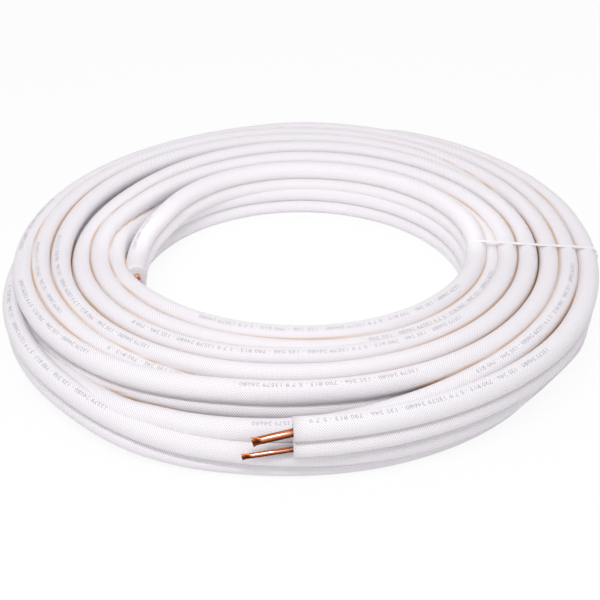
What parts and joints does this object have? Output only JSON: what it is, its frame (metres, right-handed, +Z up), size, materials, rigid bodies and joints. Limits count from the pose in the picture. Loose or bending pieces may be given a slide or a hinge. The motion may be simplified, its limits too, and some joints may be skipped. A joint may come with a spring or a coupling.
{
  "type": "insulated twin copper tube coil",
  "caption": "Flat-lying coil of twin copper tube in joined white foam sleeves, strapped at one side, with pinched copper ends at the outer free end.",
  "frame": {"origin": "middle of the footprint on the floor, so the centre of the bounding box at its bottom; the coil's own axis lies 11.1 mm behind it, because the outer free end stands out in front", "axes": "+Z up along the coil's axis, -Y towards the outer free end, -X the way the copper ends point"},
  "size_m": [0.8274, 0.8496, 0.0979],
  "materials": {
    "foam": "white polyethylene foam skin with a fine embossed diamond pattern",
    "copper": "bright drawn copper",
    "strap": "translucent white nylon"
  },
  "bodies": {
    "root": {"sleeve_coil": "foam", "gas_tube_outer_end": "copper", "liquid_tube_outer_end": "copper", "gas_tube_inner_end": "copper", "liquid_tube_inner_end": "copper", "strap": "strap"}
  },
  "joints": []
}
